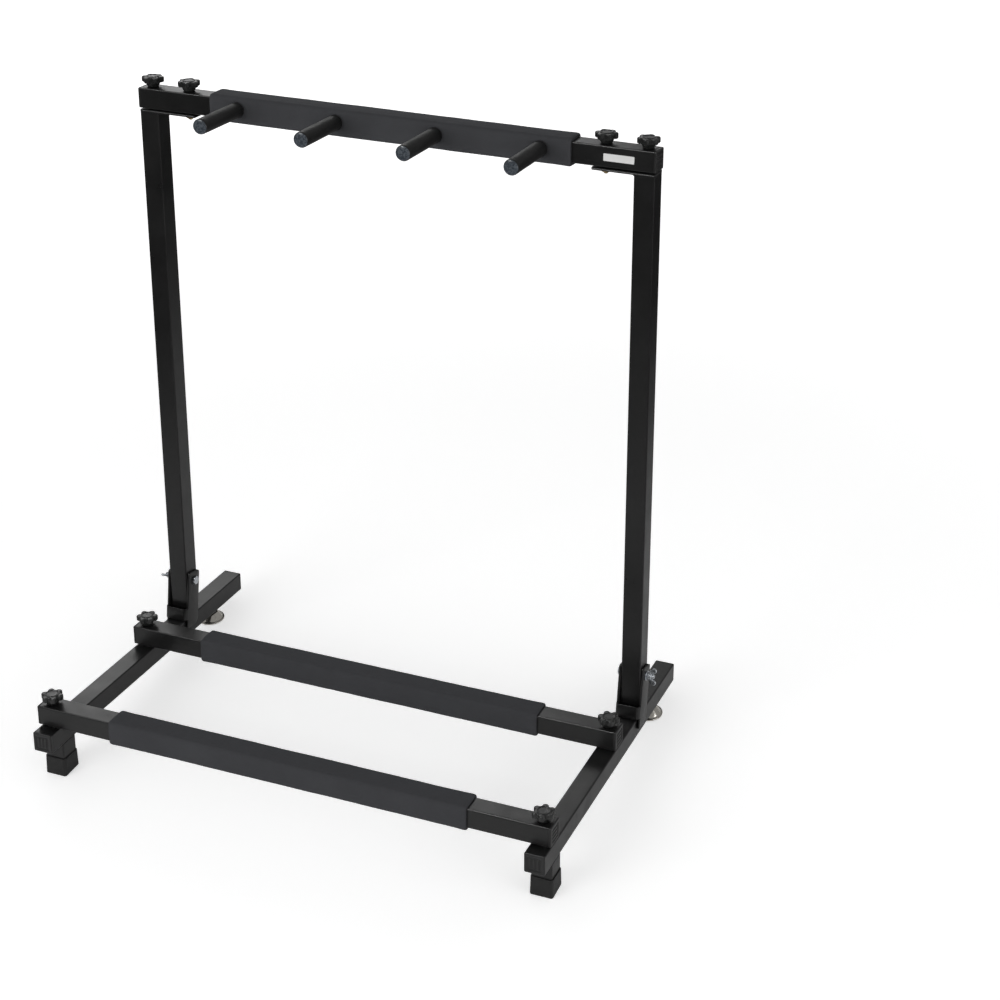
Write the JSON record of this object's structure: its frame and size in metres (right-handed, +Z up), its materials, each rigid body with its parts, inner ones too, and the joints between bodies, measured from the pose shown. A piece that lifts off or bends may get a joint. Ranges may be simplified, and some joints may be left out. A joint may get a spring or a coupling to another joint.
{
  "type": "guitar rack",
  "caption": "Folding floor rack for guitars: sloping square-tube legs with padded crossbars, hinged uprights and a padded top bar with neck pegs.",
  "frame": {"origin": "on the floor, at the centre of the rack's footprint", "axes": "+X to the rack's right seen from the front, +Y to the rear, away from the player, +Z up; the four feet stand on Z = 0"},
  "size_m": [0.6908, 0.4364, 0.7758],
  "materials": {
    "black_powder_coat": "satin powder coat on steel tube and sheet",
    "plug_plastic": "moulded, satin",
    "knob_plastic": "moulded, semi-gloss",
    "foot_rubber": "moulded, satin",
    "foam": "matte closed-cell foam",
    "zinc_plate": "bright zinc plate",
    "yellow_zinc": "yellow zinc plate",
    "nickel_plate": "polished nickel plate",
    "label": "blank printed film, satin"
  },
  "bodies": {
    "base": {"leg_left": "black_powder_coat", "leg_right": "black_powder_coat", "leg_plugs": "plug_plastic", "foot_stub_left": "black_powder_coat", "foot_stub_right": "black_powder_coat", "foot_cap_left": "foot_rubber", "foot_cap_right": "foot_rubber", "hinge_bracket_left": "black_powder_coat", "hinge_bracket_right": "black_powder_coat", "hinge_welds": "black_powder_coat", "hinge_bolt_left": "zinc_plate", "hinge_bolt_right": "zinc_plate", "hinge_washers": "zinc_plate", "front_crossbar": "black_powder_coat", "rear_crossbar": "black_powder_coat", "crossbar_plugs": "plug_plastic", "front_sleeve": "foam", "rear_sleeve": "foam", "leg_weld_nuts": "zinc_plate", "leveller_nuts": "zinc_plate"},
    "upper_frame": {"upright_left": "black_powder_coat", "upright_right": "black_powder_coat", "top_plate_left": "black_powder_coat", "top_plate_right": "black_powder_coat", "plate_welds": "black_powder_coat", "plate_weld_nuts": "yellow_zinc", "spacer_washers": "zinc_plate", "top_crossbar": "black_powder_coat", "top_crossbar_plugs": "plug_plastic", "top_sleeve": "foam", "peg_rods": "zinc_plate", "peg_cover_1": "foam", "peg_cover_2": "foam", "peg_cover_3": "foam", "peg_cover_4": "foam", "blank_label": "label"},
    "knob_front_left": {"knob_head_front_left": "knob_plastic", "knob_stud_front_left": "yellow_zinc"},
    "knob_front_right": {"knob_head_front_right": "knob_plastic", "knob_stud_front_right": "yellow_zinc"},
    "knob_rear_left": {"knob_head_rear_left": "knob_plastic", "knob_stud_rear_left": "yellow_zinc"},
    "knob_rear_right": {"knob_head_rear_right": "knob_plastic", "knob_stud_rear_right": "yellow_zinc"},
    "knob_top_left_outer": {"knob_head_top_left_outer": "knob_plastic", "knob_stud_top_left_outer": "yellow_zinc"},
    "knob_top_left_inner": {"knob_head_top_left_inner": "knob_plastic", "knob_stud_top_left_inner": "yellow_zinc"},
    "knob_top_right_outer": {"knob_head_top_right_outer": "knob_plastic", "knob_stud_top_right_outer": "yellow_zinc"},
    "knob_top_right_inner": {"knob_head_top_right_inner": "knob_plastic", "knob_stud_top_right_inner": "yellow_zinc"},
    "wing_nut_left": {"wing_nut_left": "zinc_plate"},
    "wing_nut_right": {"wing_nut_right": "zinc_plate"},
    "leveller_stud_left": {"leveller_stud_left": "zinc_plate"},
    "leveller_disc_left": {"leveller_disc_left": "nickel_plate"},
    "leveller_stud_right": {"leveller_stud_right": "zinc_plate"},
    "leveller_disc_right": {"leveller_disc_right": "nickel_plate"}
  },
  "joints": [
    {"name": "fold", "type": "hinge", "parent": "base", "child": "upper_frame", "pos_m": [0, 0.10257, 0.09664], "axis": [1, 0, 0], "range_deg": [-10, 86]},
    {"name": "knob_front_left_turn", "type": "hinge", "parent": "base", "child": "knob_front_left", "pos_m": [-0.3168, -0.18794, 0.09602], "axis": [0, 0.0767, 0.9971], "continuous": true},
    {"name": "knob_front_right_turn", "type": "hinge", "parent": "base", "child": "knob_front_right", "pos_m": [0.3168, -0.18794, 0.09602], "axis": [0, 0.0767, 0.9971], "continuous": true},
    {"name": "knob_rear_left_turn", "type": "hinge", "parent": "base", "child": "knob_rear_left", "pos_m": [-0.3168, 0.01367, 0.08051], "axis": [0, 0.0767, 0.9971], "continuous": true},
    {"name": "knob_rear_right_turn", "type": "hinge", "parent": "base", "child": "knob_rear_right", "pos_m": [0.3168, 0.01367, 0.08051], "axis": [0, 0.0767, 0.9971], "continuous": true},
    {"name": "knob_top_left_outer_turn", "type": "hinge", "parent": "upper_frame", "child": "knob_top_left_outer", "pos_m": [-0.3168, 0.15374, 0.76167], "axis": [0, 0.0767, 0.9971], "continuous": true},
    {"name": "knob_top_left_inner_turn", "type": "hinge", "parent": "upper_frame", "child": "knob_top_left_inner", "pos_m": [-0.267, 0.15374, 0.76167], "axis": [0, 0.0767, 0.9971], "continuous": true},
    {"name": "knob_top_right_outer_turn", "type": "hinge", "parent": "upper_frame", "child": "knob_top_right_outer", "pos_m": [0.3168, 0.15374, 0.76167], "axis": [0, 0.0767, 0.9971], "continuous": true},
    {"name": "knob_top_right_inner_turn", "type": "hinge", "parent": "upper_frame", "child": "knob_top_right_inner", "pos_m": [0.267, 0.15374, 0.76167], "axis": [0, 0.0767, 0.9971], "continuous": true},
    {"name": "wing_nut_left_turn", "type": "hinge", "parent": "base", "child": "wing_nut_left", "pos_m": [-0.3168, 0.10257, 0.09664], "axis": [-1, 0, 0], "continuous": true},
    {"name": "wing_nut_right_turn", "type": "hinge", "parent": "base", "child": "wing_nut_right", "pos_m": [0.3168, 0.10257, 0.09664], "axis": [1, 0, 0], "continuous": true},
    {"name": "leveller_stud_left_turn", "type": "hinge", "parent": "base", "child": "leveller_stud_left", "pos_m": [-0.3168, 0.15564, 0.0056], "axis": [0, 0.0767, 0.9971], "continuous": true},
    {"name": "leveller_disc_left_turn", "type": "hinge", "parent": "base", "child": "leveller_disc_left", "pos_m": [-0.3168, 0.15564, 0.0056], "axis": [0, 0, 1], "continuous": true},
    {"name": "leveller_stud_right_turn", "type": "hinge", "parent": "base", "child": "leveller_stud_right", "pos_m": [0.3168, 0.15564, 0.0056], "axis": [0, 0.0767, 0.9971], "continuous": true},
    {"name": "leveller_disc_right_turn", "type": "hinge", "parent": "base", "child": "leveller_disc_right", "pos_m": [0.3168, 0.15564, 0.0056], "axis": [0, 0, 1], "continuous": true}
  ]
}
